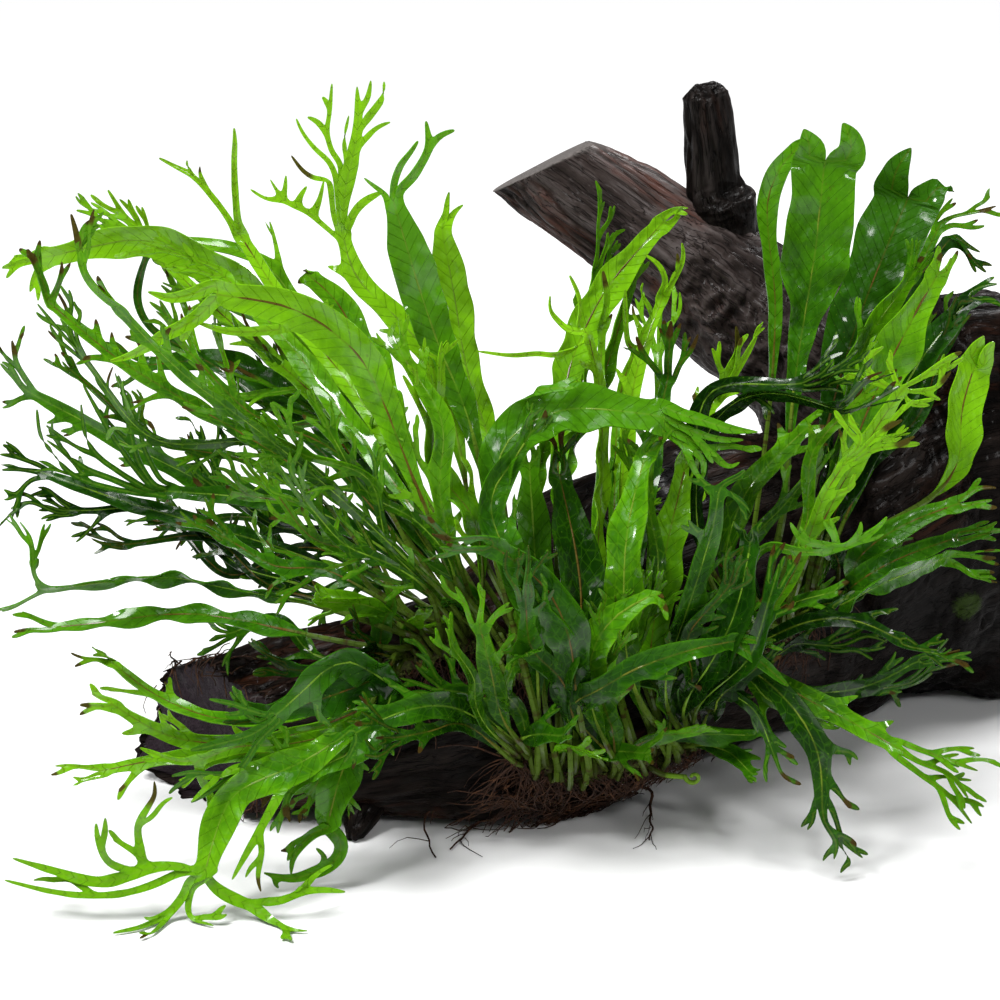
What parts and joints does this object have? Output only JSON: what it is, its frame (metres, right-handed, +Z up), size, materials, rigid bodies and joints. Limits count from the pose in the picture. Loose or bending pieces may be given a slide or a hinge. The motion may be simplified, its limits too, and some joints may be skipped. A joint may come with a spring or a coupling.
{
  "type": "java fern on driftwood",
  "caption": "Aquarium fern with lace-like frond tips growing on a forked piece of driftwood that lies on its side",
  "frame": {"origin": "on the flat strip of the lower limb's underside that the wood rests on, under the front rhizome", "axes": "+X along the lying wood towards the thick trunk, +Y away from the planted side, +Z up"},
  "size_m": [0.4651, 0.3125, 0.2814],
  "materials": {
    "wet_wood": "satin",
    "weathered_wood": "matte",
    "rhizome": "matte",
    "roots": "matte",
    "frond_bright": "gloss",
    "frond_mid": "gloss",
    "frond_dark": "gloss"
  },
  "bodies": {
    "root": {"fiddlehead": "frond_bright", "left_frond_01": "frond_mid", "left_frond_02": "frond_bright", "left_frond_03": "frond_bright", "left_frond_04": "frond_bright", "left_frond_05": "frond_bright", "left_frond_06": "frond_dark", "left_frond_07": "frond_mid", "left_frond_08": "frond_mid", "left_frond_09": "frond_dark", "left_frond_10": "frond_mid", "left_frond_11": "frond_bright", "left_frond_12": "frond_bright", "left_frond_13": "frond_dark", "left_frond_14": "frond_bright", "left_frond_15": "frond_bright", "left_frond_16": "frond_bright", "left_frond_17": "frond_bright", "left_frond_18": "frond_bright", "left_frond_19": "frond_mid", "left_frond_20": "frond_bright", "lower_limb": "wet_wood", "middle_frond_01": "frond_mid", "middle_frond_02": "frond_bright", "middle_frond_03": "frond_bright", "middle_frond_04": "frond_bright", "middle_frond_05": "frond_mid", "middle_frond_06": "frond_mid", "middle_frond_07": "frond_bright", "middle_frond_08": "frond_bright", "middle_frond_09": "frond_bright", "middle_frond_10": "frond_mid", "middle_frond_11": "frond_bright", "middle_frond_12": "frond_bright", "middle_frond_13": "frond_mid", "middle_frond_14": "frond_dark", "rhizome_front": "rhizome", "rhizome_left": "rhizome", "rhizome_right": "rhizome", "right_frond_01": "frond_mid", "right_frond_02": "frond_bright", "right_frond_03": "frond_mid", "right_frond_04": "frond_dark", "right_frond_05": "frond_dark", "right_frond_06": "frond_bright", "right_frond_07": "frond_mid", "right_frond_08": "frond_dark", "right_frond_09": "frond_bright", "right_frond_10": "frond_bright", "right_frond_11": "frond_dark", "right_frond_12": "frond_bright", "right_frond_13": "frond_dark", "right_frond_14": "frond_bright", "right_frond_15": "frond_bright", "right_frond_16": "frond_mid", "right_frond_17": "frond_mid", "root_mat": "roots", "trunk": "wet_wood", "upper_limb": "weathered_wood", "upright_stub": "weathered_wood"}
  },
  "joints": []
}
